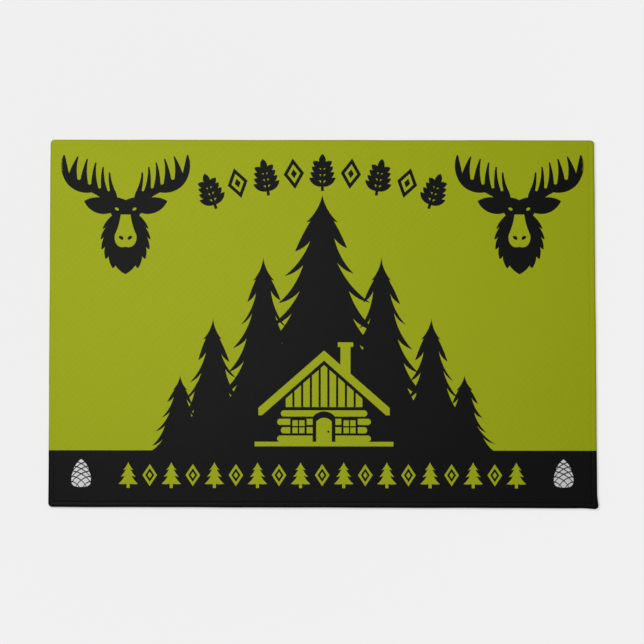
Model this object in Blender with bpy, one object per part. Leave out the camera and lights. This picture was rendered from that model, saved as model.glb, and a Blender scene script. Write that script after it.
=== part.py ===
"""A hemmed doormat: printed face cloth, cushion core and studded rubber backing, in metres, +Z up.

The origin is the centre of the mat on the floor. +X runs along the long side, and -Y is the side at which
the reader of the print stands. Layers are listed from the floor up: studs and rubber backing, adhesive
web, felt core, adhesive web, face cloth. The face cloth turns round all four edges into a hem that lies
under the backing, and a lockstitch of two threads holds the hem.
"""

import math

import bmesh
import bpy

# Driving dimensions
MAT_LENGTH = 0.600
MAT_WIDTH = 0.404
MAT_THICKNESS = 0.00635
CORNER_RADIUS = 0.0045
CLOTH_THICKNESS = 0.0008
BACKING_THICKNESS = 0.0013
WEB_THICKNESS = 0.00015
HEM_WIDTH = 0.014  # how far the cloth turns in under the mat
SEAM_INSET = 0.0055  # from the mat's edge to the stitching
THREAD_DIAMETER = 0.0004
GAP = 0.00025  # between layers that lie on each other

# Studs under the backing, in staggered rows
STUD_DIAMETER = 0.010
STUD_SIDES = 8
STUD_PITCH_X = 0.046
STUD_PITCH_Y = 0.0245
STUD_COLUMNS = 6  # either side of the middle one
STUD_ROWS = 7

# Levels above the floor, worked out from the thicknesses
HEM_BOTTOM = GAP
HEM_TOP = HEM_BOTTOM + CLOTH_THICKNESS
BACKING_BOTTOM = HEM_TOP + GAP
BACKING_TOP = BACKING_BOTTOM + BACKING_THICKNESS
LOWER_WEB_BOTTOM = BACKING_TOP + GAP
CORE_BOTTOM = LOWER_WEB_BOTTOM + WEB_THICKNESS + GAP
FACE_TOP = MAT_THICKNESS
FACE_UNDERSIDE = FACE_TOP - CLOTH_THICKNESS
UPPER_WEB_BOTTOM = FACE_UNDERSIDE - GAP - WEB_THICKNESS
CORE_TOP = UPPER_WEB_BOTTOM - GAP

# How the cloth turns over the edge, and the groove that the stitching pulls into it
UPPER_TURN_RADIUS = 0.0024
LOWER_TURN_RADIUS = 0.0012
GROOVE_DEPTH = 0.00055
GROOVE_HALF_WIDTH = 0.0004

# How far each inner layer stops short of the mat's edge
BACKING_INSET = CLOTH_THICKNESS + GAP
WEB_INSET = UPPER_TURN_RADIUS + GAP
CORE_INSET = 0.0019

CORNER_STEPS = 6
TURN_STEPS = 4
LEAST_CORNER_RADIUS = 0.0005


def quarter_turn(start_degrees, steps):
    """Angles over a quarter circle, both ends included."""
    return [math.radians(start_degrees + 90 * i / steps) for i in range(steps + 1)]


def rounded_rectangle(inset):
    """The mat's outline moved in by inset, anticlockwise from the +X side, with the same number of points
    at any inset."""
    radius = max(CORNER_RADIUS - inset, LEAST_CORNER_RADIUS)
    reach_x = MAT_LENGTH / 2 - inset - radius
    reach_y = MAT_WIDTH / 2 - inset - radius
    points = []
    for quadrant, (side_x, side_y) in enumerate([(1, 1), (-1, 1), (-1, -1), (1, -1)]):
        for angle in quarter_turn(90 * quadrant, CORNER_STEPS):
            x = side_x * reach_x + radius * math.cos(angle)
            y = side_y * reach_y + radius * math.sin(angle)
            points.append((x, y))
    return points


def material(name, colour, roughness):
    made = bpy.data.materials.new(name)
    made.use_nodes = True
    surface = made.node_tree.nodes["Principled BSDF"]
    surface.inputs["Base Color"].default_value = (*colour, 1.0)
    surface.inputs["Roughness"].default_value = roughness
    surface.inputs["Metallic"].default_value = 0.0
    return made


def add_object(name, mesh, finish):
    mesh.materials.append(finish)
    made = bpy.data.objects.new(name, mesh)
    bpy.context.scene.collection.objects.link(made)
    return made


def layered(name, profile, finish):
    """A solid whose surface passes through one outline for each (inset, height) of the profile, closed by a
    flat face at each end."""
    shape = bmesh.new()
    rings = []
    for inset, height in profile:
        outline = rounded_rectangle(inset)
        rings.append([shape.verts.new((x, y, height)) for x, y in outline])
    for lower, upper in zip(rings, rings[1:]):
        for i in range(len(lower)):
            j = (i + 1) % len(lower)
            shape.faces.new((lower[i], lower[j], upper[j], upper[i]))
    shape.faces.new(list(reversed(rings[0])))
    shape.faces.new(rings[-1])
    bmesh.ops.recalc_face_normals(shape, faces=shape.faces)
    mesh = bpy.data.meshes.new(name)
    shape.to_mesh(mesh)
    shape.free()
    return add_object(name, mesh, finish)


def flat_layer(name, inset, bottom, thickness, finish):
    return layered(name, [(inset, bottom), (inset, bottom + thickness)], finish)


def turn(centre_inset, centre_height, radius, start_degrees, clockwise=False):
    """Profile points round a quarter circle whose centre lies that far in from the edge. Zero degrees points
    outwards, to the edge, and ninety up."""
    angles = quarter_turn(start_degrees, TURN_STEPS)
    points = [(centre_inset - radius * math.cos(a), centre_height + radius * math.sin(a)) for a in angles]
    return points[::-1] if clockwise else points


def face_cloth(finish):
    """Top sheet, turned edge and hem in one piece, with a stitching groove above and below."""
    lower_centre = HEM_BOTTOM + LOWER_TURN_RADIUS
    upper_centre = FACE_TOP - UPPER_TURN_RADIUS
    groove = [SEAM_INSET - GROOVE_HALF_WIDTH, SEAM_INSET + GROOVE_HALF_WIDTH]
    hem_groove_floor = HEM_BOTTOM + GROOVE_DEPTH
    face_groove_floor = FACE_TOP - GROOVE_DEPTH
    outside = [
        (HEM_WIDTH, HEM_BOTTOM),
        (groove[1], HEM_BOTTOM),
        (groove[1], hem_groove_floor),
        (groove[0], hem_groove_floor),
        (groove[0], HEM_BOTTOM),
        *turn(LOWER_TURN_RADIUS, lower_centre, LOWER_TURN_RADIUS, -90),
        *turn(UPPER_TURN_RADIUS, upper_centre, UPPER_TURN_RADIUS, 0),
        (groove[0], FACE_TOP),
        (groove[0], face_groove_floor),
        (groove[1], face_groove_floor),
        (groove[1], FACE_TOP),
    ]
    inside = [
        *turn(UPPER_TURN_RADIUS, upper_centre, UPPER_TURN_RADIUS - CLOTH_THICKNESS, 0, clockwise=True),
        *turn(LOWER_TURN_RADIUS, lower_centre, LOWER_TURN_RADIUS - CLOTH_THICKNESS, -90, clockwise=True),
        (HEM_WIDTH, HEM_TOP),
    ]
    return layered("face_cloth", inside + outside, finish)


def stud_places():
    """Centres of the studs: every other row is moved along by half a pitch and has one stud fewer."""
    places = []
    for row in range(-STUD_ROWS, STUD_ROWS + 1):
        shift = (row % 2) / 2
        for column in range(-STUD_COLUMNS, STUD_COLUMNS + 1 - row % 2):
            places.append(((column + shift) * STUD_PITCH_X, row * STUD_PITCH_Y))
    return places


def studs(finish):
    """All the studs as prisms that reach into the backing, for a Boolean to join to it."""
    overlap = BACKING_THICKNESS / 2
    height = BACKING_BOTTOM + overlap
    shape = bmesh.new()
    for x, y in stud_places():
        made = bmesh.ops.create_cone(
            shape,
            cap_ends=True,
            segments=STUD_SIDES,
            radius1=STUD_DIAMETER / 2,
            radius2=STUD_DIAMETER / 2,
            depth=height,
        )
        bmesh.ops.translate(shape, verts=made["verts"], vec=(x, y, height / 2))
    mesh = bpy.data.meshes.new("studs")
    shape.to_mesh(mesh)
    shape.free()
    made = add_object("studs", mesh, finish)
    made.hide_render = True
    made.display_type = "WIRE"
    return made


def rubber_backing(finish):
    backing = flat_layer("rubber_backing", BACKING_INSET, BACKING_BOTTOM, BACKING_THICKNESS, finish)
    union = backing.modifiers.new("studs", "BOOLEAN")
    union.operation = "UNION"
    union.solver = "EXACT"
    union.object = studs(finish)
    return backing


def seam_thread(name, height, finish):
    """One thread of the lockstitch, as a closed loop that lies in its groove."""
    path = bpy.data.curves.new(name, "CURVE")
    path.dimensions = "3D"
    path.bevel_depth = THREAD_DIAMETER / 2
    path.bevel_resolution = 1
    line = path.splines.new("POLY")
    outline = rounded_rectangle(SEAM_INSET)
    line.points.add(len(outline) - 1)
    for point, (x, y) in zip(line.points, outline):
        point.co = (x, y, height, 1.0)
    line.use_cyclic_u = True
    return add_object(name, path, finish)


def main():
    for old in list(bpy.data.objects):
        bpy.data.objects.remove(old)
    cloth = material("printed_polyester", (0.31, 0.36, 0.018), 0.9)
    web = material("adhesive_web", (0.75, 0.73, 0.66), 0.6)
    felt = material("grey_felt", (0.30, 0.30, 0.30), 0.95)
    rubber = material("black_rubber", (0.022, 0.022, 0.023), 0.75)
    thread = material("black_thread", (0.02, 0.02, 0.02), 0.6)

    rubber_backing(rubber)
    flat_layer("lower_adhesive_web", WEB_INSET, LOWER_WEB_BOTTOM, WEB_THICKNESS, web)
    flat_layer("felt_core", CORE_INSET, CORE_BOTTOM, CORE_TOP - CORE_BOTTOM, felt)
    flat_layer("upper_adhesive_web", WEB_INSET, UPPER_WEB_BOTTOM, WEB_THICKNESS, web)
    face_cloth(cloth)
    seam_thread("hem_needle_thread", FACE_TOP - THREAD_DIAMETER / 2, thread)
    seam_thread("hem_bobbin_thread", HEM_BOTTOM + THREAD_DIAMETER / 2, thread)


main()
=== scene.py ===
"""The looks of a hemmed, printed doormat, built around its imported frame.

One printed cloth covers the mat, turns round its edges and ends in a hem underneath, which a lockstitch
holds. Below the cloth lie a felt core between two adhesive webs, and a studded rubber backing. Lengths are
metres, except in the print's own drawing, which is in millimetres from the middle of the mat.
"""

import math
import random

import bmesh
import bpy
import numpy as np
from mathutils import Matrix, Vector, kdtree, noise
from mathutils.geometry import delaunay_2d_cdt


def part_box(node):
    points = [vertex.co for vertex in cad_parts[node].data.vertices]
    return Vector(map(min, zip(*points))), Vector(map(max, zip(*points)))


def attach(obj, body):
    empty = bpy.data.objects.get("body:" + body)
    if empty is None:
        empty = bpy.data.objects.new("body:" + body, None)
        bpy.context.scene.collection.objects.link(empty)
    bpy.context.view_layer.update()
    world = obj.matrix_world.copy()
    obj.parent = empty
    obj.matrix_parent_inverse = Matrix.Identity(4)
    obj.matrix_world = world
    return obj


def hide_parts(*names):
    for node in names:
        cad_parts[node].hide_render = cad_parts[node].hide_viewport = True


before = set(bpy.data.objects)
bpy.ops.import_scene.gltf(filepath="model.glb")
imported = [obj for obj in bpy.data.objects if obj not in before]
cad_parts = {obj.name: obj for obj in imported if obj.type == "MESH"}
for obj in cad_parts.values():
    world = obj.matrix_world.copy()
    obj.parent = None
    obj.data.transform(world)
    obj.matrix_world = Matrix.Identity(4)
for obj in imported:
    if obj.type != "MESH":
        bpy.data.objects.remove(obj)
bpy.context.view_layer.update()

bl_info = {
    "name": "Printed Doormat",
    "version": (1, 0, 0),
    "blender": (4, 5, 0),
    "location": "View3D > Sidebar > Doormat",
    "description": "Builds a hemmed, printed doormat around its packed frame",
    "category": "Object",
}

MM = 0.001

# Sizes that the frame gives
CLOTH_LOW, CLOTH_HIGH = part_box("face_cloth")
HALF_LENGTH, HALF_WIDTH, FACE_TOP = CLOTH_HIGH
HEM_UNDERSIDE = CLOTH_LOW.z
NEEDLE_LOW, NEEDLE_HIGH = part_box("hem_needle_thread")
THREAD_DIAMETER = NEEDLE_HIGH.z - NEEDLE_LOW.z
SEAM_INSET = HALF_LENGTH - NEEDLE_HIGH.x + THREAD_DIAMETER / 2
BACKING_LOW, BACKING_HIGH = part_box("rubber_backing")
CORE_LOW, CORE_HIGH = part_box("felt_core")

# The cloth's turned edge, as in the frame
CORNER_RADIUS = 4.5 * MM
LEAST_CORNER_RADIUS = 0.5 * MM
CLOTH_THICKNESS = 0.8 * MM
UPPER_TURN_RADIUS = 2.4 * MM
LOWER_TURN_RADIUS = 1.2 * MM
HEM_WIDTH = 14 * MM

# The backing's slab and studs, as in the frame
BACKING_THICKNESS = 1.3 * MM
STUD_DIAMETER = 10 * MM
STUD_PITCH_X = 46 * MM
STUD_PITCH_Y = 24.5 * MM
STUD_COLUMNS = 6
STUD_ROWS = 7

STITCH_LENGTH = 4 * MM
TWIST_PITCH = 0.9 * MM  # of the thread
GRAIN_PITCH = 0.9 * MM  # of the cloth that the rubber was pressed on
CORNER_STEPS = 8
END_STEPS = 8  # runs between the even part of a side and its corner
END_LENGTH = 24 * MM
FIELD_INSET = 9.5 * MM  # where the flat of the top meets the rounds of the edge
GRID_SPACING = 6.0  # mm, over the flat of the top
LINE_STEP = 2.5  # mm, the most between the points of a printed line, and more than between the rim's
PRINT_EDGE = 0.3  # mm, how far the dye fades on each side of a printed line
CLEAR_OF_LINES = 1.5  # mm, how near a grid point may be to a printed line

# How the cloth has settled
SEAM_DIP = 0.2 * MM  # depth of the furrow that the stitching pulls into the top
FURROW_WIDTH = 0.8 * MM
EDGE_WANDER = 0.12 * MM
EDGE_LEAN = 0.45 * MM  # how far out the middle of each side stands
EDGE_REACH = 30 * MM  # how far in from an edge the cloth has moved with it
PULLED_X, PULLED_Y = 1.5 * MM, -1.1 * MM  # how far the corner at +X and -Y has been pulled out
PULLED_REACH = 16 * MM
SWELL = 0.1 * MM  # how far the top rises and falls

# The layers under it
BACKING_CORNER = 3.4 * MM
CORE_CORNER = 2.6 * MM
SMOOTH_ANGLE = math.radians(35)

# The stage
FLOOR_SIZE = 8
SENSOR_WIDTH = 36

# The print

LIME, BLACK, PALE = 0, 1, 2
ARC_STEP = 1.8  # longest straight run along a bowed line
BAND_TOP = -140.0
CABIN_FOOT = (2, -135.5)
HEAD_CHIN = (217, 53.5)  # and its mirror image
CONE_FOOT = (264, -180)  # and its mirror image
GARLAND_RADIUS = 380
GARLAND_CROWN = 166
GARLAND_STEP = 31.5
ROW_MIDDLE = -167
ROW_STEP = 23.6


def bowed(corners, closed=True):
    """A line through the corners. A corner is (x, y, bow): the run to the next one bulges to the left of the
    way it goes by that share of its length, so that an outline that runs clockwise bulges outwards."""
    following = corners[1:] + (corners[:1] if closed else [])
    points = []
    for (x0, y0, bow), (x1, y1, _) in zip(corners, following):
        chord = math.hypot(x1 - x0, y1 - y0)
        turn = 4 * math.atan(2 * bow)
        steps = max(1, round(chord / ARC_STEP), round(abs(turn) / 0.4)) if bow else 1
        along = ((x1 - x0) / chord, (y1 - y0) / chord)
        for i in range(steps):
            if bow:
                radius = chord / 2 / math.sin(turn / 2)
                angle = turn * (i / steps - 0.5)
                run = chord / 2 + radius * math.sin(angle)
                rise = radius * (math.cos(angle) - math.cos(turn / 2))
            else:
                run = rise = 0
            points.append((x0 + run * along[0] - rise * along[1], y0 + run * along[1] + rise * along[0]))
    if not closed:
        points.append(corners[-1][:2])
    return points


def both_sides(half):
    """The outline of a shape that is the same either side of x = 0, from its right half, top to bottom."""
    right = bowed(half, closed=False)
    return right + [(-x, y) for x, y in reversed(right) if x > 1e-6]


def placed(outline, x=0.0, y=0.0, turned=0.0, mirrored=False):
    """The outline mirrored or not, turned by that many degrees anticlockwise, and moved to (x, y)."""
    cosine, sine = math.cos(math.radians(turned)), math.sin(math.radians(turned))
    side = -1 if mirrored else 1
    return [
        (x + side * px * cosine - py * sine, y + side * px * sine + py * cosine) for px, py in outline
    ]


def box_shape(left, bottom, right, top):
    return [(left, top), (right, top), (right, bottom), (left, bottom)]


def leaf(length, width):
    """A pointed leaf from the origin along +Y."""
    fullness = width / length / 2
    return bowed([(0, 0, fullness), (0, length, fullness)])


def bough_side(height, spread, tiers, draw):
    """One side of a conifer, from its tip at the origin down to its foot: a hollow spire, then boughs that
    droop to sharp ends, each cut in underneath almost to the trunk."""
    spire = 0.95 / tiers
    step = height * (1 - spire) / (tiers - 0.45)
    corners = [(0, 0, -0.08)]
    for tier in range(tiers):
        depth = spire + step / height * tier
        reach = spread * (0.075 + 0.925 * depth) * draw.uniform(0.9, 1.1)
        drop = -height * depth + step * draw.uniform(-0.12, 0.12) * (tier > 0)
        cut = draw.uniform(0.38, 0.46) + 0.26 * depth if tier else 0.74
        lift = step * (draw.uniform(0.36, 0.5) if tier else 0.04)
        corners.append((reach, drop, 0.08))
        corners.append((reach * cut, drop + lift, -0.07 if tier else 0.02))
    corners.append((spread * 0.97, -height, 0))
    return bowed(corners, closed=False)


def conifer(x, tip, foot, spread, tiers, seed):
    draw = random.Random(seed)
    right = bough_side(tip - foot, spread, tiers, draw)
    left = bough_side(tip - foot, spread, tiers, draw)
    return placed(right + [(-px, py) for px, py in reversed(left[1:])], x, tip)


def forest(foot):
    """Seven conifers that stand in each other's boughs, the tallest in the middle."""
    shapes = [(BLACK, conifer(0, 141, foot, 104, 9, 3))]
    for side in (-1, 1):
        for place, tip, spread, tiers in ((65, 72, 64, 8), (120, 5, 48, 6), (156, -58, 35, 5)):
            shapes.append((BLACK, conifer(side * place, tip, foot, spread, tiers, place + 7 * side)))
    return shapes


def along_bend(start, control, end, share):
    """The point at that share of a quadratic bend."""
    near, middle, far = (1 - share) ** 2, 2 * share * (1 - share), share**2
    return tuple(near * a + middle * b + far * c for a, b, c in zip(start, control, end))


def antler():
    """The right antler: a broad palm that ends in a hook, with tines that fan out along its upper edge."""
    tines = 5
    feet, tips = ((10, 91), (32, 95), (65, 113)), ((15, 109), (30, 127), (59, 131))
    corners = [(9, 80, 0.05)]
    for tine in range(tines):
        share = (tine + 0.5) / tines
        before, after = along_bend(*feet, share - 0.075), along_bend(*feet, share + 0.065)
        tip = along_bend(*tips, share)
        corners += [(*before, -0.05), (tip[0] - 0.9, tip[1], 0.3)]
        corners += [(tip[0] + 0.9, tip[1] - 0.5, 0.03), (*after, -0.4)]
    corners[-1] = (*corners[-1][:2], 0)
    corners += [(67, 131, 0.4), (69, 131, 0.13), (63.5, 99, 0.13), (38, 90.5, -0.05)]
    corners += [(18, 76, 0)]
    return bowed(corners)


def tufted_side():
    """The right side of the neck fur, from the cheek down to a point, as a row of overlapping tufts."""
    tufts = 6
    cheek_to_chin = (15, 65), (38, 28), (0, 0)
    corners = []
    for tuft in range(tufts):
        end_x, end_y = along_bend(*cheek_to_chin, (tuft + 0.86) / tufts)
        corners.append((*along_bend(*cheek_to_chin, tuft / tufts), 0.07))
        if tuft < tufts - 1:
            corners.append((end_x + 5.2 * (1 - tuft / tufts), end_y - 4.4, 0.12))
    return corners + [(0, 0, 0)]


def antlered_head():
    """An antlered head seen from the front, in black with the muzzle left in the colour of the ground."""
    skull = both_sides([(0, 82, 0.05), (10, 85, 0.16), (18.5, 75, 0.1)] + tufted_side())
    ear = bowed([(14, 79, 0.16), (46, 81, 0.2), (16, 68, 0)])
    muzzle = both_sides([(0, 66, 0), (5.4, 66, -0.04), (11.6, 44, 0.1), (10.4, 34, 0.2), (0, 30.5, 0)])
    eye = bowed([(7.4, 71, 0.3), (12, 73.2, 0.3)])
    nostril = bowed([(2.6, 38, 0.42), (7.6, 41.6, 0.2)])
    shapes = [(BLACK, skull), (LIME, muzzle)]
    for flip in (False, True):
        for dye, outline in ((BLACK, antler()), (BLACK, ear), (LIME, eye), (BLACK, nostril)):
            shapes.append((dye, placed(outline, mirrored=flip)))
    return shapes


def cabin():
    """A log cabin seen from its gable, in lime on the black of the trees: upright boards over round-ended
    logs, an arched door with a knob, and two windows. Its ground line is at y = 0."""
    apex, eave, eave_y, roof = 105, 72, 42, 11
    slope = (apex - eave_y) / eave
    shapes = [(LIME, box_shape(18, 80, 29, 110)), (LIME, box_shape(15, 109, 32, 114))]
    shapes += [(BLACK, both_sides([(0, apex, 0), (eave, eave_y, 0), (eave, 36, 0)]))]
    drip = eave_y - roof + 3
    shapes += [(LIME, both_sides([(0, apex, 0), (eave, eave_y, 0), (eave, drip, 0), (eave - 4, drip, 0),
                                  (0, apex - roof, 0)]))]
    for board in range(-4, 5):
        left, right = board * 9.6 - 3.6, board * 9.6 + 3.6
        top_left, top_right = (apex - roof - 5 - slope * abs(x) for x in (left, right))
        crown = [(0, apex - roof - 5)] if board == 0 else []
        shapes.append((LIME, [(left, top_left), *crown, (right, top_right), (right, 43), (left, 43)]))
    for log in range(4):
        end, middle = 49 if log % 2 else 45, 36 - 9.2 * log
        top, low = middle + 3.4, middle - 3.4
        shapes.append((LIME, bowed([(-end, top, 0), (end, top, 0.35), (end, low, 0), (-end, low, 0.35)])))
    shapes += [(BLACK, arched(12.5, 3, 37)), (LIME, arched(8.5, 4.5, 32)), (LIME, box_shape(-76, 0, 76, 5))]
    shapes += [(BLACK, bowed([(3.6, 16, 0.5), (6, 16, 0.5)]))]
    for side in (-28, 28):
        shapes.append((BLACK, box_shape(side - 9, 12, side + 9, 31)))
        for x in (side - 6.6, side + 0.8):
            shapes += [(LIME, box_shape(x, y, x + 5.8, y + 6.3)) for y in (14.3, 22.2)]
    return shapes


def arched(half_width, foot, top):
    """A doorway's outline, with a flat foot and a low arch over it."""
    return bowed([(-half_width, foot, 0), (-half_width, top - 5, 0.25), (half_width, top - 5, 0),
                  (half_width, foot, 0)])


def strip(start, end, bow, width):
    """A bent band of that width from one place to another."""
    (x0, y0), (x1, y1) = start, end
    half = width / 2
    return bowed([(x0, y0 + half, bow), (x1, y1 + half, 0), (x1, y1 - half, -bow), (x0, y0 - half, 0)])


def pine_cone():
    """A closed cone in pale grey with its foot on y = 0: an egg that two sets of bent lines cut into
    scales."""
    egg = both_sides([(0, 30.5, 0.1), (9.4, 15, 0.1), (10.6, 8, 0.26), (4.4, 0.4, 0.06), (0, 0, 0)])
    shapes = [(PALE, egg)]
    for line in range(6):
        foot = 5.6 * line - 13.4
        missed = max(0, (-3 - foot) / 20)
        for side in (-1, 1):
            start, end = ((28 * missed - 14) * side, foot + 20 * missed), (14 * side, foot + 20)
            shapes.append((BLACK, strip(start, end, 0.16 * side, 1.35)))
    return shapes


def lozenge(height, dye, ground):
    """A tall diamond with a smaller one left out of it, and a spot in the middle of that."""
    shapes = []
    for share, colour in ((1, dye), (0.62, ground), (0.3, dye)):
        tall, wide = height * share / 2, height * share / 3
        shapes.append((colour, [(0, tall), (wide, 0), (0, -tall), (-wide, 0)]))
    return shapes


def sprig(height, dye):
    """A straight stem with pairs of leaves that get shorter towards its top, centred on the origin."""
    half = height / 2
    shapes = [(dye, box_shape(-height / 26, -half, height / 26, half * 0.6))]
    shapes.append((dye, placed(leaf(height * 0.36, height * 0.19), 0, half * 0.28)))
    for pair in range(4):
        size = height * (0.43 - 0.04 * pair)
        foot = -half + height * (0.12 + 0.17 * pair)
        for side in (-1, 1):
            shapes.append((dye, placed(leaf(size, height * 0.17), 0, foot, -56 * side)))
    return shapes


def small_fir(height, dye):
    """A little fir in three plain tiers on a trunk."""
    half = [(0, 0.5, -0.05)]
    for reach, drop in ((0.2, 0.2), (0.29, -0.06), (0.38, -0.34)):
        half += [(reach, drop, 0.05), (reach * 0.45, drop + 0.03, -0.05)]
    half[-1] = (0.06, -0.34, 0)
    half += [(0.06, -0.5, 0), (0, -0.5, 0)]
    return [(dye, both_sides([(x * height, y * height, bow) for x, y, bow in half]))]


def row_of(motifs, step, y):
    """The motifs side by side, the row centred on x = 0."""
    start = -step * (len(motifs) - 1) / 2
    shapes = []
    for i, motif in enumerate(motifs):
        shapes += [(dye, placed(outline, start + step * i, y)) for dye, outline in motif]
    return shapes


def garland(motifs, radius, crown, step):
    """The motifs along the top of a circle whose highest point is (0, crown), each standing square to it."""
    shapes = []
    for i, motif in enumerate(motifs):
        angle = step * (i - (len(motifs) - 1) / 2) / radius
        x, y = radius * math.sin(angle), crown - radius * (1 - math.cos(angle))
        shapes += [(dye, placed(outline, x, y, -math.degrees(angle))) for dye, outline in motif]
    return shapes


def print_shapes():
    """Every shape of the print but the band, in the order in which they lie over each other."""
    shapes = forest(BAND_TOP - 2)
    shapes += [(dye, placed(outline, *CABIN_FOOT)) for dye, outline in cabin()]
    for side in (-1, 1):
        for (x, y), motif in ((HEAD_CHIN, antlered_head()), (CONE_FOOT, pine_cone())):
            shapes += [(dye, placed(outline, x * side, y)) for dye, outline in motif]
    arc = [lozenge(34, BLACK, LIME) if i % 2 else sprig(41, BLACK) for i in range(9)]
    shapes += garland(arc, GARLAND_RADIUS, GARLAND_CROWN, GARLAND_STEP)
    band = [lozenge(24, LIME, BLACK) if i % 2 else small_fir(28, LIME) for i in range(19)]
    shapes += row_of(band, ROW_STEP, ROW_MIDDLE)
    return shapes


# The cloth


def resampled(outline, step):
    """The closed outline with points at most that far apart."""
    points = []
    for start, end in zip(outline, outline[1:] + outline[:1]):
        count = max(1, math.ceil(math.dist(start, end) / step))
        for i in range(count):
            points.append(tuple(a + (b - a) * i / count for a, b in zip(start, end)))
    return points


def anticlockwise(outline):
    area = sum(x0 * y1 - x1 * y0 for (x0, y0), (x1, y1) in zip(outline, outline[1:] + outline[:1]))
    return outline if area > 0 else outline[::-1]


def edge_points(outline, distance):
    """Points that far to each side of a closed outline, next to each of its own."""
    points = []
    for before, point, after in zip(outline[-1:] + outline[:-1], outline, outline[1:] + outline[:1]):
        along = (Vector(after) - Vector(before)).normalized() * distance
        points += [(point[0] - along.y, point[1] + along.x), (point[0] + along.y, point[1] - along.x)]
    return points


def side_stops(reach, half, exact=None):
    """Places along one side of the mat, from -reach to reach: every half stitch, except towards the corners,
    where the rest of the side is shared out. The place nearest to exact is moved there."""
    stitches = round(2 * (half - SEAM_INSET) / STITCH_LENGTH)
    spacing = (half - SEAM_INSET) / stitches
    count = int((half - END_LENGTH) / spacing)
    even = [i * spacing for i in range(-count, count + 1)]
    if exact is not None:
        even[min(range(len(even)), key=lambda i: abs(even[i] - exact))] = exact
    run = [(reach - even[-1]) * (i + 1) / END_STEPS for i in range(END_STEPS)]
    return [even[0] - step for step in reversed(run)] + even + [even[-1] + step for step in run]


def edge_outline(inset):
    """The mat's outline moved in by inset, anticlockwise from the foot of its +X side, with the same number
    of points at any inset, and one on each short side at the top of the band."""
    radius = max(CORNER_RADIUS - inset, LEAST_CORNER_RADIUS)
    reach_x, reach_y = HALF_LENGTH - inset - radius, HALF_WIDTH - inset - radius
    band = BAND_TOP * MM
    sides = (
        [(HALF_LENGTH - inset, s) for s in side_stops(reach_y, HALF_WIDTH, band)],
        [(-s, HALF_WIDTH - inset) for s in side_stops(reach_x, HALF_LENGTH)],
        [(inset - HALF_LENGTH, -s) for s in side_stops(reach_y, HALF_WIDTH, -band)],
        [(s, inset - HALF_WIDTH) for s in side_stops(reach_x, HALF_LENGTH)],
    )
    points = []
    quadrants = ((1, 1), (-1, 1), (-1, -1), (1, -1))
    for quadrant, (side, (sign_x, sign_y)) in enumerate(zip(sides, quadrants)):
        points += side
        for step in range(1, CORNER_STEPS):
            angle = math.radians(90 * (quadrant + step / CORNER_STEPS))
            x, y = sign_x * reach_x + radius * math.cos(angle), sign_y * reach_y + radius * math.sin(angle)
            points.append((x, y))
    return points


def turn(centre_inset, centre_height, radius, start, end, steps):
    """(inset, height) round part of a circle. Zero degrees points out of the mat's edge, and ninety up."""
    angles = [math.radians(start + (end - start) * i / steps) for i in range(steps + 1)]
    return [(centre_inset - radius * math.cos(a), centre_height + radius * math.sin(a)) for a in angles]


def edge_profile():
    """(inset, height) of every ring of the cloth, from the flat of the top over the edge to the end of the
    hem, and back inside to the underside of the top."""
    upper = (UPPER_TURN_RADIUS, FACE_TOP - UPPER_TURN_RADIUS)
    lower = (LOWER_TURN_RADIUS, HEM_UNDERSIDE + LOWER_TURN_RADIUS)
    hem_top = HEM_UNDERSIDE + CLOTH_THICKNESS
    half = CLOTH_THICKNESS / 2
    top_insets = (7.6, 6.7, 6.1, 5.75, 5.5, 5.25, 4.9, 4.2, 3.2)
    hem_insets = (2.5, 4.2, 4.9, 5.25, 5.5, 5.75, 6.1, 7.0, 9.5, 12.0, 13.7)
    profile = [(FIELD_INSET, FACE_TOP)] + [(inset * MM, FACE_TOP) for inset in top_insets]
    profile += turn(*upper, UPPER_TURN_RADIUS, 90, 0, 6) + turn(*lower, LOWER_TURN_RADIUS, 0, -90, 4)
    profile += [(inset * MM, HEM_UNDERSIDE) for inset in hem_insets]
    profile += turn(HEM_WIDTH - half, HEM_UNDERSIDE + half, half, -120, -240, 3)
    profile += [(inset * MM, hem_top) for inset in (13.4, 9.0, 5.0)]
    profile += turn(*lower, LOWER_TURN_RADIUS - CLOTH_THICKNESS, -90, 0, 3)
    profile += turn(*upper, UPPER_TURN_RADIUS - CLOTH_THICKNESS, 0, 90, 4)
    return profile + [(5.5 * MM, FACE_TOP - CLOTH_THICKNESS), (FIELD_INSET, FACE_TOP - CLOTH_THICKNESS)]


def filled(rim, shapes):
    """Triangles over the area inside the rim, in millimetres: the points, which of them are the rim's, the
    triangles, and for each triangle the number of the last of the shapes that covers it, or -1."""
    corner = np.abs(np.array(rim)).max(axis=0) - GRID_SPACING * 0.6
    counts = np.ceil(2 * corner / GRID_SPACING).astype(int)
    columns = [np.linspace(-limit, limit, count + 1) for limit, count in zip(corner, counts)]
    grid = [(x, y) for x in columns[0] for y in columns[1]]
    points, faces = list(rim), [list(range(len(rim)))]
    lines = [resampled(anticlockwise(shape), LINE_STEP) for shape in shapes]
    for line in lines:
        faces.append(list(range(len(points), len(points) + len(line))))
        points += line
    if lines:
        printed = kdtree.KDTree(len(points) - len(rim))
        for i, point in enumerate(points[len(rim):]):
            printed.insert((*point, 0), i)
        printed.balance()
        beside = [point for line in lines for point in edge_points(line, PRINT_EDGE)]
        points += [(x, y) for x, y in beside if abs(x) < corner[0] and abs(y) < corner[1]
                   and printed.find((x, y, 0))[2] > 0.8 * PRINT_EDGE]
        grid = [(x, y) for x, y in grid if printed.find((x, y, 0))[2] > CLEAR_OF_LINES]
    points += grid
    places, _, triangles, came_from, _, covers = delaunay_2d_cdt(
        [Vector(point) for point in points], [], faces, 0, 1e-5, True
    )
    place_of_point = {source: place for place, sources in enumerate(came_from) for source in sources}
    kept = [(face, max(cover) - 1) for face, cover in zip(triangles, covers) if 0 in cover]
    return places, [place_of_point[i] for i in range(len(rim))], kept


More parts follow.
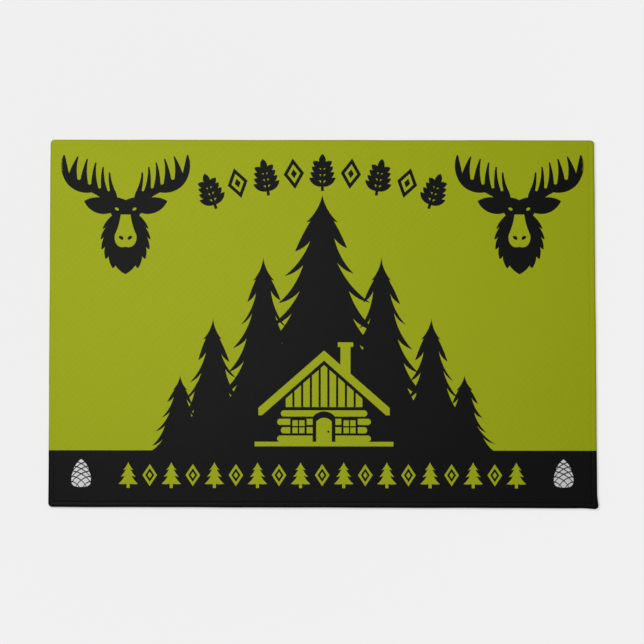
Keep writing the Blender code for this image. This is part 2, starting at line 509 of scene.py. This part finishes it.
def band_shape(rim):
    """The part of the rim below the top of the band, closed along that line."""
    below = [point for point in rim if point[1] < BAND_TOP + 1e-4]
    start = max(range(len(below)), key=lambda i: math.dist(below[i - 1], below[i]))
    return below[start:] + below[:start]


def stand_out(along, half, phase):
    """How far the mat's edge stands out at a place along a side: never in, and more towards the side's end,
    because the mat has been pulled along a diagonal."""
    waves = 0.6 * np.sin(along / 0.027 + phase) + 0.4 * np.sin(along / 0.0117 + 2.3 * phase)
    return EDGE_WANDER * (1 + waves) + EDGE_LEAN * (1 + along / half)


def fade(distance, length):
    """One at no distance, and nothing from that length on."""
    share = np.clip(1 - distance / length, 0, 1)
    return share * share * (3 - 2 * share)


def seam_pull(points):
    """How far the stitching pulls the cloth in at each point: in a furrow that is deepest at the holes."""
    x, y = np.abs(points[:, 0]), np.abs(points[:, 1])
    from_x, from_y = HALF_LENGTH - x, HALF_WIDTH - y
    across = np.minimum(from_x, from_y) - SEAM_INSET
    along = np.where(from_x < from_y, points[:, 1], points[:, 0])
    half = np.where(from_x < from_y, HALF_WIDTH, HALF_LENGTH) - SEAM_INSET
    spacing = 2 * half / np.round(2 * half / STITCH_LENGTH)
    holes = 0.5 + 0.5 * np.cos(2 * math.pi * (along + half) / spacing)
    return SEAM_DIP * (0.72 + 0.28 * holes) * np.exp(-((across / FURROW_WIDTH) ** 2))


def settled(points):
    """The points after the cloth has settled: its edges stand out a little, the corner at +X and -Y has been
    pulled out, and the top isn't quite flat."""
    moved = points.copy()
    x, y, z = points.T
    for sign, phase in ((1, 0.4), (-1, 2.9)):
        out_x = stand_out(-sign * y, HALF_WIDTH, phase) * fade(HALF_LENGTH - sign * x, EDGE_REACH)
        out_y = stand_out(-sign * x, HALF_LENGTH, phase + 1.7) * fade(HALF_WIDTH - sign * y, EDGE_REACH)
        moved[:, 0] += sign * out_x
        moved[:, 1] += sign * out_y
    pulled = fade(np.hypot(x - HALF_LENGTH, y + HALF_WIDTH), PULLED_REACH)
    moved[:, 0] += PULLED_X * pulled
    moved[:, 1] += PULLED_Y * pulled
    high = np.clip((z - 3 * MM) / (FACE_TOP - 3 * MM), 0, 1)
    swell = [
        noise.noise((px * 16, py * 16, 0.3)) + 0.5 * noise.noise((px * 45, py * 45, 4.1))
        for px, py in points[:, :2]
    ]
    moved[:, 2] += SWELL * np.array(swell) * high
    return moved


def cloth_mesh():
    """The printed cloth as one closed mesh, with the dye of each face corner in the attribute "dye": X is the
    share that is not lime, and Y the share that is pale."""
    profile = edge_profile()
    rim = [(x / MM, y / MM) for x, y in edge_outline(profile[0][0])]
    painted = [(BLACK, band_shape(rim))] + print_shapes()
    places, top_rim, top_faces = filled(rim, [outline for _, outline in painted])
    under_places, under_rim, under_faces = filled(rim, [])
    dyes = [dye for dye, _ in painted] + [LIME]

    points = [(place.x * MM, place.y * MM, profile[0][1]) for place in places]
    faces = [tuple(face) for face, _ in top_faces]
    face_dyes = [dyes[cover] for _, cover in top_faces]
    flat_count = len(faces)
    ring = top_rim
    for inset, height in profile[1:-1]:
        outline = edge_outline(inset)
        following = list(range(len(points), len(points) + len(outline)))
        points += [(x, y, height) for x, y in outline]
        join_rings(faces, face_dyes, points, ring, following)
        ring = following
    offset = len(points)
    points += [(place.x * MM, place.y * MM, profile[-1][1]) for place in under_places]
    join_rings(faces, face_dyes, points, ring, [offset + place for place in under_rim])
    for face, _ in under_faces:
        faces.append(tuple(offset + corner for corner in reversed(face)))
        face_dyes.append(LIME)

    points = np.array(points)
    top = points[:, 2] > FACE_TOP - 0.1 * MM
    under = points[:, 2] < HEM_UNDERSIDE + 0.1 * MM
    pull = seam_pull(points)
    points[:, 2] += np.where(under, 0.7 * pull, 0) - np.where(top, pull, 0)
    mesh = bpy.data.meshes.new("face_cloth")
    mesh.from_pydata(settled(points).tolist(), [], faces)
    store_dyes(mesh, np.array(face_dyes), flat_count)
    mesh.shade_smooth()
    return mesh


def join_rings(faces, face_dyes, points, outer, inner):
    """Adds the quads between two rings of the same number of points, in the dye of the mat's top there."""
    count = len(outer)
    for i in range(count):
        j = (i + 1) % count
        faces.append((outer[i], inner[i], inner[j], outer[j]))
        middle = (points[inner[i]][1] + points[inner[j]][1]) / 2
        face_dyes.append(BLACK if middle < BAND_TOP * MM else LIME)


def store_dyes(mesh, face_dyes, flat_count):
    """Writes the "dye" attribute. Where a face of the flat top has a corner on a printed line, that corner
    takes half of each side's dye, so that the line can be drawn as soft as dye in cloth."""
    values = np.stack([face_dyes > LIME, face_dyes == PALE], axis=1).astype(np.float32)
    corner_vertex = np.empty(len(mesh.loops), np.int32)
    mesh.loops.foreach_get("vertex_index", corner_vertex)
    totals = np.empty(len(mesh.polygons), np.int32)
    mesh.polygons.foreach_get("loop_total", totals)
    corner_face = np.repeat(np.arange(len(totals)), totals)
    corner_values = values[corner_face]
    flat = corner_face < flat_count
    least = np.full((len(mesh.vertices), 2), 2, np.float32)
    most = np.full((len(mesh.vertices), 2), -1, np.float32)
    np.minimum.at(least, corner_vertex[flat], corner_values[flat])
    np.maximum.at(most, corner_vertex[flat], corner_values[flat])
    on_line = (most > least).any(axis=1)
    lines_in_face = np.zeros(len(totals), int)
    np.add.at(lines_in_face, corner_face, on_line[corner_vertex])
    softened = flat & on_line[corner_vertex] & (lines_in_face < totals)[corner_face]
    corner_values[softened] = ((least + most) / 2)[corner_vertex[softened]]
    attribute = mesh.attributes.new("dye", "FLOAT_VECTOR", "CORNER")
    attribute.data.foreach_set("vector", np.pad(corner_values, ((0, 0), (0, 1))).ravel())


# The seam


def seam_path(height, down):
    """The middle line of one thread of the lockstitch: along the seam, through a hole at each stitch's end.
    Down is the way into the mat, -1 from above and 1 from below."""
    dive = ((0.0, 0.95), (0.07, 0.35), (0.17, 0.05), (0.5, -0.04), (0.83, 0.05), (0.93, 0.35))
    corners = [Vector((sx * (HALF_LENGTH - SEAM_INSET), sy * (HALF_WIDTH - SEAM_INSET), 0))
               for sx, sy in ((1, -1), (1, 1), (-1, 1), (-1, -1))]
    points = []
    for start, end in zip(corners, corners[1:] + corners[:1]):
        stitches = round((end - start).length / STITCH_LENGTH)
        for stitch in range(stitches):
            for share, depth in dive:
                point = start.lerp(end, (stitch + share) / stitches)
                points.append((point.x, point.y, height + down * depth * MM))
    return settled(np.array(points))


def add_thread(name, height, down):
    path = bpy.data.curves.new(name, "CURVE")
    path.dimensions = "3D"
    path.bevel_depth = THREAD_DIAMETER / 2
    path.bevel_resolution = 1
    points = seam_path(height, down)
    line = path.splines.new("POLY")
    line.points.add(len(points) - 1)
    line.points.foreach_set("co", np.insert(points, 3, 1.0, axis=1).ravel())
    line.use_cyclic_u = True
    line.use_smooth = True
    made = bpy.data.objects.new(name, path)
    bpy.context.scene.collection.objects.link(made)
    alone(made)
    bpy.ops.object.convert(target="MESH")
    return bpy.context.object


# Pieces modelled by hand


def alone(piece):
    """Makes the piece the only selected one, and the active one."""
    bpy.ops.object.select_all(action="DESELECT")
    piece.select_set(True)
    bpy.context.view_layer.objects.active = piece


def choose(piece, kind, test):
    """Selects the faces or edges of the piece in edit mode that pass the test."""
    bpy.ops.mesh.select_mode(type=kind)
    bpy.ops.mesh.select_all(action="DESELECT")
    shape = bmesh.from_edit_mesh(piece.data)
    for part in shape.faces if kind == "FACE" else shape.edges:
        part.select_set(test(part))
    shape.select_flush_mode()
    bmesh.update_edit_mesh(piece.data)


def upright(edge):
    low, high = (vertex.co for vertex in edge.verts)
    return abs(high.z - low.z) > 0.5 * (high - low).length


def add_slab(name, low, high, corner_radius, rim_radius):
    """A flat slab between two corners, with rounded corners and softened rims."""
    bpy.ops.object.select_all(action="DESELECT")
    bpy.ops.mesh.primitive_cube_add(size=1, location=(low + high) / 2, scale=high - low)
    slab = bpy.context.object
    slab.name = slab.data.name = name
    bpy.ops.object.transform_apply()
    bpy.ops.object.mode_set(mode="EDIT")
    choose(slab, "EDGE", upright)
    bpy.ops.mesh.bevel(offset=corner_radius, segments=6)
    middle = (low.z + high.z) / 2
    reach = (high.z - low.z) * 0.4
    choose(slab, "EDGE", lambda edge: all(abs(v.co.z - middle) > reach for v in edge.verts))
    bpy.ops.mesh.bevel(offset=rim_radius, segments=3)
    bpy.ops.object.mode_set(mode="OBJECT")
    return slab


def add_stud(foot, top):
    """One stud: a short cylinder that tapers a little and has a softened foot."""
    bpy.ops.object.select_all(action="DESELECT")
    bpy.ops.mesh.primitive_cylinder_add(
        vertices=24, radius=STUD_DIAMETER / 2, depth=top - foot, location=(0, 0, (foot + top) / 2)
    )
    stud = bpy.context.object
    bpy.ops.object.transform_apply()
    bpy.ops.object.mode_set(mode="EDIT")
    choose(stud, "FACE", lambda face: face.normal.z < -0.5)
    bpy.ops.transform.resize(value=(0.95, 0.95, 1))
    bpy.ops.mesh.bevel(offset=0.3 * MM, segments=2)
    bpy.ops.object.mode_set(mode="OBJECT")
    return stud


def stud_places():
    """Centres of the studs: every other row is moved along by half a pitch and has one stud fewer."""
    for row in range(-STUD_ROWS, STUD_ROWS + 1):
        odd = row % 2
        for column in range(-STUD_COLUMNS, STUD_COLUMNS + 1 - odd):
            yield (column + odd / 2) * STUD_PITCH_X, row * STUD_PITCH_Y


def add_backing(rim_radius):
    slab_bottom = BACKING_HIGH.z - BACKING_THICKNESS
    low = Vector((BACKING_LOW.x, BACKING_LOW.y, slab_bottom))
    backing = add_slab("rubber_backing_sheet", low, BACKING_HIGH, BACKING_CORNER, rim_radius)
    first = add_stud(BACKING_LOW.z, slab_bottom + BACKING_THICKNESS / 2)
    studs = []
    for x, y in stud_places():
        stud = first.copy()
        stud.data = first.data.copy()
        stud.location = (x, y, 0)
        bpy.context.scene.collection.objects.link(stud)
        studs.append(stud)
    bpy.data.objects.remove(first)
    alone(studs[0])
    for stud in studs:
        stud.select_set(True)
    bpy.ops.object.transform_apply()
    bpy.ops.object.join()
    joined = bpy.context.object
    union = backing.modifiers.new("studs", "BOOLEAN")
    union.operation = "UNION"
    union.solver = "EXACT"
    union.object = joined
    alone(backing)
    bpy.ops.object.modifier_apply(modifier=union.name)
    bpy.data.objects.remove(joined)
    bpy.ops.object.shade_smooth_by_angle(angle=SMOOTH_ANGLE)
    return backing


# Finishes


class Wire:
    """A node's output that takes part in Python arithmetic, which adds Math nodes to its finish."""

    def __init__(self, finish, socket):
        self.finish = finish
        self.socket = socket

    def maths(self, operation, *values):
        return self.finish.node("Math", {"operation": operation}, dict(enumerate(values)))

    def __add__(self, other):
        return self.maths("ADD", self, other)

    def __sub__(self, other):
        return self.maths("SUBTRACT", self, other)

    def __rsub__(self, other):
        return self.maths("SUBTRACT", other, self)

    def __mul__(self, other):
        return self.maths("MULTIPLY", self, other)

    def __truediv__(self, other):
        return self.maths("DIVIDE", self, other)

    __radd__ = __add__
    __rmul__ = __mul__

    def sine(self):
        return self.maths("SINE", self)

    def between(self, low, high):
        """Nothing up to low, one from high on, and smooth in between."""
        settings = {"interpolation_type": "SMOOTHSTEP"}
        return self.finish.node("MapRange", settings, {"Value": self, "From Min": low, "From Max": high})


class Finish:
    """A material with its Principled BSDF, and the object's own coordinates, in metres, to build it on."""

    def __init__(self, name, specular):
        self.material = bpy.data.materials.new(name)
        self.material.use_nodes = True
        self.tree = self.material.node_tree
        self.surface = self.tree.nodes["Principled BSDF"]
        self.surface.inputs["Specular IOR Level"].default_value = specular
        self.place = self.node("TexCoord", {}, {}, output=3)
        self.x, self.y, self.z = self.apart(self.place)

    def node(self, kind, settings, sockets, output=0):
        """Adds a node of that kind, with its settings first and then the values or links of its sockets, and
        gives the output of that number."""
        made = self.tree.nodes.new("ShaderNode" + kind)
        for name, value in settings.items():
            setattr(made, name, value)
        for socket, value in sockets.items():
            if isinstance(value, Wire):
                self.tree.links.new(value.socket, made.inputs[socket])
            else:
                made.inputs[socket].default_value = value
        return Wire(self, made.outputs[output])

    def apart(self, vector):
        """The X, Y and Z of a vector."""
        split = self.node("SeparateXYZ", {}, {0: vector}).socket.node
        return [Wire(self, output) for output in split.outputs]

    def grey(self, value):
        """The value as a colour."""
        return self.node("CombineXYZ", {}, {0: value, 1: value, 2: value})

    def mixed(self, share, first, second, way="MIX"):
        """A colour between two, each a Wire or a colour of three numbers."""
        colours = [c if isinstance(c, Wire) else (*c, 1.0) for c in (first, second)]
        settings = {"data_type": "RGBA", "blend_type": way}
        return self.node("Mix", settings, {0: share, 6: colours[0], 7: colours[1]}, output=2)

    def speckle(self, scale, detail=2.0, roughness=0.5, place=None):
        """Noise around a half, over that many cells a metre."""
        sockets = {"Vector": place or self.place, "Scale": scale, "Detail": detail, "Roughness": roughness}
        return self.node("TexNoise", {}, sockets)

    def cells(self, scale, feature="F1"):
        """The distance to the middle of the nearest of that many cells a metre, or to its edge."""
        return self.node("TexVoronoi", {"feature": feature}, {"Vector": self.place, "Scale": scale})

    def feed(self, socket, wire):
        self.tree.links.new(wire.socket, self.surface.inputs[socket])

    def done(self, colour, roughness, height):
        """Gives the surface its colour, its roughness and its relief in metres."""
        relief = self.node("Bump", {}, {"Strength": 1.0, "Distance": 1.0, "Height": height})
        for socket, wire in (("Base Color", colour), ("Roughness", roughness), ("Normal", relief)):
            self.feed(socket, wire)
        return self.material


def twill(x, y, z, pitch):
    """The heights, from -1 to 1, of the cloth's ribs, which rise from lower left to upper right and go on
    over the edges, of the floats of yarn that they are made of, and of a broader rib."""
    turns = math.tau * math.sqrt(0.5) / pitch
    rib = ((x - y + z) * turns).sine()
    floats = ((x + y - z) * (turns / 0.62) + 1.6 * rib).sine()
    broad = ((x - y + z) * (turns / 4.2)).sine()
    return rib, floats, broad


def printed_finish(settings):
    """Polyester twill with the print dyed into it."""
    finish = Finish("printed_twill", 0.088)
    rib, floats, broad = twill(finish.x, finish.y, finish.z, settings.twill_pitch)
    fibres = finish.speckle(2600)
    dye = finish.node("Attribute", {"attribute_name": "dye"}, {}, output=1)
    bleed = (fibres - 0.5) * 0.5
    inked, paled = ((share + bleed).between(0.38, 0.62) for share in finish.apart(dye)[:2])
    colour = finish.mixed(inked, settings.lime, settings.black)
    colour = finish.mixed(paled, colour, settings.pale)
    uneven = finish.speckle(14, 3) - 0.5
    yarn = finish.speckle(900, 1) - 0.5
    shade = 1 + 0.05 * uneven + 0.16 * yarn + 0.035 * rib + 0.02 * floats + 0.012 * broad
    colour = finish.mixed(1.0, colour, finish.grey(shade), "MULTIPLY")
    height = 0.03 * MM * rib + 0.018 * MM * floats + 0.03 * MM * (fibres - 0.5) + 0.008 * MM * broad
    return finish.done(colour, 0.5 + 0.1 * yarn, height)


def thread_finish(name, upper, lower):
    """Twisted polyester thread, in one colour above the top of the printed band and another below it."""
    finish = Finish(name, 0.1)
    x, y = finish.x, finish.y
    twist = ((x + y + 0.35 * (x - y)) * (math.tau / TWIST_PITCH)).sine()
    fluff = finish.speckle(3000) - 0.5
    above = y.between((BAND_TOP - 0.2) * MM, (BAND_TOP + 0.2) * MM)
    colour = finish.mixed(above, lower, upper)
    colour = finish.mixed(1.0, colour, finish.grey(1.05 + 0.12 * twist + 0.3 * fluff), "MULTIPLY")
    return finish.done(colour, 0.55 + 0.2 * fluff, 0.02 * MM * twist)


def rubber_finish(rubber):
    """Matt moulded rubber with the grain of the cloth that it was pressed on."""
    finish = Finish("moulded_rubber", 0.4)
    weave = (finish.x * (math.tau / GRAIN_PITCH)).sine() * (finish.y * (math.tau / GRAIN_PITCH)).sine()
    grain = finish.speckle(1500, 3) - 0.5
    cloud = finish.speckle(22, 4) - 0.5
    bloom = finish.speckle(60, 5, 0.7).between(0.52, 0.8)
    dusty = [1.9 * c + 0.012 for c in rubber]
    colour = finish.mixed(0.35 * bloom + 0.5 * cloud, rubber, dusty)
    return finish.done(colour, 0.68 + 0.2 * cloud + 0.15 * grain, 0.035 * MM * weave + 0.05 * MM * grain)


def felt_finish(felt):
    """Needle-punched felt of mixed grey fibres, with the needles' small pits."""
    finish = Finish("needled_felt", 0.2)
    finish.surface.inputs["Sheen Weight"].default_value = 0.15
    drift = finish.node("TexNoise", {}, {"Vector": finish.place, "Scale": 60}, output=1)
    fibres = finish.speckle(1400, 4, 0.65, finish.mixed(0.004, finish.place, drift))
    tufts = finish.speckle(160, 3)
    pits = finish.cells(330).between(0.05, 0.25)
    dark, light = ([share * c for c in felt] for share in (0.55, 1.5))
    colour = finish.mixed(fibres.between(0.3, 0.7), dark, felt)
    colour = finish.mixed(0.4 * tufts, colour, light)
    return finish.done(colour, 0.9 + 0.1 * tufts, 0.15 * MM * fibres + 0.1 * MM * pits)


def web_finish(web):
    """Hot-melt adhesive web: a pale film of fused threads."""
    finish = Finish("fused_web", 0.5)
    threads = 1 - finish.cells(420, "DISTANCE_TO_EDGE").between(0.04, 0.12)
    blots = finish.speckle(700, 3)
    colour = finish.mixed(0.7 * threads + 0.3 * blots, [0.72 * c for c in web], web)
    return finish.done(colour, 0.6 - 0.25 * threads, 0.06 * MM * threads)


# What a user would change


def colour_setting(name, description, default):
    return bpy.props.FloatVectorProperty(
        name=name, description=description, default=default, subtype="COLOR", size=3, min=0, max=1
    )


def length_setting(name, description, default, least=0.0):
    return bpy.props.FloatProperty(
        name=name, description=description, default=default, min=least, subtype="DISTANCE", unit="LENGTH",
        precision=5,
    )


def place_setting(name, description, default):
    return bpy.props.FloatVectorProperty(
        name=name, description=description, default=default, subtype="TRANSLATION", unit="LENGTH", size=3,
        precision=5,
    )


def share_setting(name, description, default):
    return bpy.props.FloatProperty(
        name=name, description=description, default=default, subtype="FACTOR", min=0, max=1
    )


class ClothSettings(bpy.types.PropertyGroup):
    """The printed cloth and its colours."""

    lime: colour_setting("Lime", "Ground of the print", (0.313, 0.363, 0.0028))
    black: colour_setting("Black", "Trees, heads and band of the print", (0.0006, 0.0006, 0.0006))
    pale: colour_setting("Pale", "Cones of the print", (0.62, 0.62, 0.62))
    twill_pitch: length_setting("Twill pitch", "From one rib of the cloth to the next", 1.3 * MM, 0.3 * MM)


class SeamSettings(bpy.types.PropertyGroup):
    """The thread that holds the hem."""

    bobbin_colour: colour_setting("Bobbin thread", "Thread on the underside", (0.012, 0.012, 0.013))
    sunk: length_setting("Sunk", "How far the stitches lie below the cloth's surface", 0.06 * MM)


class LayerSettings(bpy.types.PropertyGroup):
    """The layers under the cloth."""

    rubber: colour_setting("Rubber", "Backing", (0.022, 0.022, 0.023))
    felt: colour_setting("Felt", "Core", (0.30, 0.30, 0.30))
    web: colour_setting("Adhesive", "Webs above and below the core", (0.75, 0.73, 0.66))
    rim_radius: length_setting("Rim radius", "Rounding of the backing and the core", 0.25 * MM, 0.05 * MM)


class StageSettings(bpy.types.PropertyGroup):
    """The floor, the light and the camera."""

    camera_distance: length_setting("Camera distance", "From the camera to its aim", 2.0, 0.5)
    camera_aim: place_setting("Camera aim", "Where it looks", (-0.34 * MM, 1.19 * MM, 0))
    camera_tilt: bpy.props.FloatVectorProperty(
        name="Camera tilt", description="Turns about X, Y and Z from looking straight down", subtype="EULER",
        unit="ROTATION", size=3, default=[math.radians(angle) for angle in (2.938, 0.398, 0.026)],
    )
    lens: bpy.props.FloatProperty(
        name="Lens", description=f"Focal length, for a sensor {SENSOR_WIDTH} mm wide", unit="CAMERA",
        subtype="DISTANCE_CAMERA", default=101.4, min=10,
    )
    lamp_place: place_setting("Lamp place", "Middle of the lamp", (-0.311, 0.215, 1.282))
    lamp_size: length_setting("Lamp size", "Width of the lamp's disk", 0.6, 0.05)
    key_share: share_setting("Lamp's share", "Part of the light on the mat that comes from the lamp", 0.8)
    floor_level: share_setting("Floor level", "Brightness of the floor", 0.881)
    floor_albedo: share_setting("Floor albedo", "Brightness that a shadow can take from the floor", 0.42)


SETTINGS = {
    "doormat_cloth": ClothSettings,
    "doormat_seam": SeamSettings,
    "doormat_layers": LayerSettings,
    "doormat_stage": StageSettings,
}


# The pieces


def finished(piece, finish, slot, *nodes):
    """Gives a new piece its finish, makes it ride on the mat, and hides the frame's pieces that it stands in
    for.
    """
    piece.data.materials.clear()
    piece.data.materials.append(finish)
    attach(piece, "root")
    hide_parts(*nodes)


class DOORMAT_OT_face_cloth(bpy.types.Operator):
    """Build the printed cloth with its turned edge and hem"""

    bl_idname = "doormat.face_cloth"
    bl_label = "Face Cloth"

    def execute(self, context):
        cloth = bpy.data.objects.new("printed_face_cloth", cloth_mesh())
        context.scene.collection.objects.link(cloth)
        finished(cloth, printed_finish(context.scene.doormat_cloth), "printed_polyester", "face_cloth")
        return {"FINISHED"}


class DOORMAT_OT_seam(bpy.types.Operator):
    """Sew the hem's lockstitch: the needle thread above and the bobbin thread below"""

    bl_idname = "doormat.seam"
    bl_label = "Seam"

    def execute(self, context):
        seam, dyes = context.scene.doormat_seam, context.scene.doormat_cloth
        cloth = bpy.data.objects.get("printed_face_cloth")
        if cloth is None:
            raise RuntimeError("the seam needs the face cloth that it is sewn in")
        depth = seam.sunk + THREAD_DIAMETER / 2
        needle = add_thread("needle_thread_stitches", FACE_TOP - depth, -1)
        bobbin = add_thread("bobbin_thread_stitches", HEM_UNDERSIDE + depth, 1)
        dyed = thread_finish("needle_thread", dyes.lime, dyes.black)
        plain = thread_finish("bobbin_thread", seam.bobbin_colour, seam.bobbin_colour)
        finished(needle, dyed, "sewing_thread", "hem_needle_thread")
        finished(bobbin, plain, "sewing_thread", "hem_bobbin_thread")
        return {"FINISHED"}


class DOORMAT_OT_backing(bpy.types.Operator):
    """Model the rubber backing with its studs"""

    bl_idname = "doormat.backing"
    bl_label = "Rubber Backing"

    def execute(self, context):
        layers = context.scene.doormat_layers
        backing = add_backing(layers.rim_radius)
        finished(backing, rubber_finish(layers.rubber), "black_rubber", "rubber_backing")
        return {"FINISHED"}


class DOORMAT_OT_core(bpy.types.Operator):
    """Model the felt core, and give the adhesive webs their finish"""

    bl_idname = "doormat.core"
    bl_label = "Core and Webs"

    def execute(self, context):
        layers = context.scene.doormat_layers
        core = add_slab("felt_core_pad", CORE_LOW, CORE_HIGH, CORE_CORNER, layers.rim_radius)
        bpy.ops.object.shade_smooth_by_angle(angle=SMOOTH_ANGLE)
        finished(core, felt_finish(layers.felt), "grey_felt", "felt_core")
        web = web_finish(layers.web)
        for node in ("lower_adhesive_web", "upper_adhesive_web"):
            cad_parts[node].material_slots[0].material = web
        return {"FINISHED"}


class DOORMAT_OT_stage(bpy.types.Operator):
    """Set the mat on a plain pale floor, under soft light from the upper left, with a camera above it"""

    bl_idname = "doormat.stage"
    bl_label = "Stage"

    def execute(self, context):
        settings = context.scene.doormat_stage
        add_floor(settings)
        add_lights(context, settings)
        add_camera(context, settings)
        context.scene.view_settings.view_transform = "Standard"
        return {"FINISHED"}


def add_floor(settings):
    """The floor glows by what the lamp's light lacks there, so that it's equally bright all over and still
    takes the mat's shadow."""
    bpy.ops.object.select_all(action="DESELECT")
    bpy.ops.mesh.primitive_plane_add(size=FLOOR_SIZE)
    floor = bpy.context.object
    floor.name = "floor"
    paint = Finish("floor_paint", 0)
    x, y, lamp = paint.x, paint.y, settings.lamp_place
    reach = lamp.length_squared
    nearer = (x * lamp.x + y * lamp.y) * (1 / reach)
    spread = (x * x + y * y) * (1 / reach) - 2 * nearer + 1
    key = (1 - nearer) / (spread * spread) * settings.key_share
    glow = settings.floor_level - (key + (1 - settings.key_share)) * settings.floor_albedo
    paint.feed("Emission Color", paint.grey(glow))
    plain = {"Emission Strength": 1, "Roughness": 0.9, "Base Color": (*[settings.floor_albedo] * 3, 1)}
    for socket, value in plain.items():
        paint.surface.inputs[socket].default_value = value
    floor.data.materials.append(paint.material)


def add_lights(context, settings):
    """A large lamp and an even white surrounding, which together light a white mat's middle to exactly 1."""
    world = bpy.data.worlds.new("studio")
    world.use_nodes = True
    surround = world.node_tree.nodes["Background"]
    surround.inputs["Strength"].default_value = 1 - settings.key_share
    surround.inputs["Color"].default_value = (1, 1, 1, 1)
    context.scene.world = world
    place = Vector(settings.lamp_place)
    key = bpy.data.lights.new("key", "AREA")
    key.shape = "DISK"
    key.size = settings.lamp_size
    key.energy = settings.key_share * math.pi ** 2 * place.length ** 3 / place.z
    lamp = bpy.data.objects.new("key", key)
    lamp.location = place
    lamp.rotation_euler = (-place).to_track_quat("-Z", "Y").to_euler()
    context.scene.collection.objects.link(lamp)


def add_camera(context, settings):
    lens = bpy.data.cameras.new("camera")
    lens.lens = settings.lens
    lens.sensor_width = SENSOR_WIDTH
    camera = bpy.data.objects.new("camera", lens)
    place = Matrix.Translation(settings.camera_aim)
    for angle, axis in zip(settings.camera_tilt, "XYZ"):
        place @= Matrix.Rotation(angle, 4, axis)
    camera.matrix_world = place @ Matrix.Translation((0, 0, settings.camera_distance))
    context.scene.collection.objects.link(camera)
    context.scene.camera = camera


class DOORMAT_PT_panel(bpy.types.Panel):
    """The doormat's settings and the buttons that build its pieces"""

    bl_label = "Doormat"
    bl_space_type = "VIEW_3D"
    bl_region_type = "UI"
    bl_category = "Doormat"

    def draw(self, context):
        for name in SETTINGS:
            group = getattr(context.scene, name)
            box = self.layout.box()
            for prop in group.bl_rna.properties:
                if prop.identifier not in ("rna_type", "name"):
                    box.prop(group, prop.identifier)
        for operator in OPERATORS:
            self.layout.operator(operator.bl_idname)


OPERATORS = (
    DOORMAT_OT_core,
    DOORMAT_OT_backing,
    DOORMAT_OT_face_cloth,
    DOORMAT_OT_seam,
    DOORMAT_OT_stage,
)
CLASSES = (*SETTINGS.values(), *OPERATORS, DOORMAT_PT_panel)


def register():
    for made in CLASSES:
        bpy.utils.register_class(made)
    for name, group in SETTINGS.items():
        setattr(bpy.types.Scene, name, bpy.props.PointerProperty(type=group))


def unregister():
    for name in SETTINGS:
        delattr(bpy.types.Scene, name)
    for made in reversed(CLASSES):
        bpy.utils.unregister_class(made)


def main():
    register()
    bpy.ops.doormat.core()
    bpy.ops.doormat.backing()
    bpy.ops.doormat.face_cloth()
    bpy.ops.doormat.seam()
    bpy.ops.doormat.stage()


if __name__ == "__main__":
    main()
